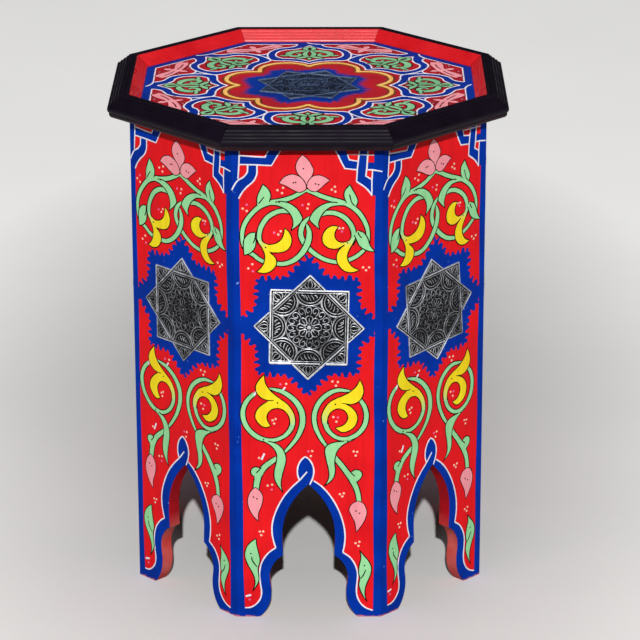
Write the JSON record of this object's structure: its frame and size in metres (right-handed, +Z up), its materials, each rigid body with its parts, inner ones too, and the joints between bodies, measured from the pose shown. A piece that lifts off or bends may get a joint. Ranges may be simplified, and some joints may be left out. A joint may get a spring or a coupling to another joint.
{
  "type": "octagonal accent table",
  "caption": "Octagonal side table with arched feet cut in its mitred panels, a framed tray top, arabesque painting and stamped metal star plaques.",
  "frame": {"origin": "on the floor, under the middle of the table", "axes": "+Z up; the front panel of the picture faces -Y, and +X is to its right"},
  "size_m": [0.405, 0.405, 0.53],
  "materials": {
    "panel_paint": "gloss enamel on wood, red with blue, mint, yellow, pink and white arabesques",
    "rim_paint": "black enamel on reeded moulding, red on the inner slope",
    "tray_paint": "varnished enamel on wood, dark red with blue cartouches",
    "raw_wood": "bare softwood",
    "star_metal": "stamped white metal with dark patina in the hollows",
    "screw_steel": "plain steel"
  },
  "bodies": {
    "root": {"side_panel_1": "panel_paint", "side_panel_2": "panel_paint", "side_panel_3": "panel_paint", "side_panel_4": "panel_paint", "side_panel_5": "panel_paint", "side_panel_6": "panel_paint", "side_panel_7": "panel_paint", "side_panel_8": "panel_paint", "rim_moulding_1": "rim_paint", "rim_moulding_2": "rim_paint", "rim_moulding_3": "rim_paint", "rim_moulding_4": "rim_paint", "rim_moulding_5": "rim_paint", "rim_moulding_6": "rim_paint", "rim_moulding_7": "rim_paint", "rim_moulding_8": "rim_paint", "top_board": "tray_paint", "corner_block_1": "raw_wood", "corner_block_2": "raw_wood", "corner_block_3": "raw_wood", "corner_block_4": "raw_wood", "corner_block_5": "raw_wood", "corner_block_6": "raw_wood", "corner_block_7": "raw_wood", "corner_block_8": "raw_wood", "top_cleat_1": "raw_wood", "top_cleat_2": "raw_wood", "top_cleat_3": "raw_wood", "top_cleat_4": "raw_wood", "top_cleat_5": "raw_wood", "top_cleat_6": "raw_wood", "top_cleat_7": "raw_wood", "top_cleat_8": "raw_wood", "cleat_screw_1": "screw_steel", "cleat_screw_2": "screw_steel", "cleat_screw_3": "screw_steel", "cleat_screw_4": "screw_steel", "cleat_screw_5": "screw_steel", "cleat_screw_6": "screw_steel", "cleat_screw_7": "screw_steel", "cleat_screw_8": "screw_steel", "side_star_1": "star_metal", "side_star_2": "star_metal", "side_star_3": "star_metal", "side_star_4": "star_metal", "side_star_5": "star_metal", "side_star_6": "star_metal", "side_star_7": "star_metal", "side_star_8": "star_metal", "tray_star": "star_metal"}
  },
  "joints": []
}
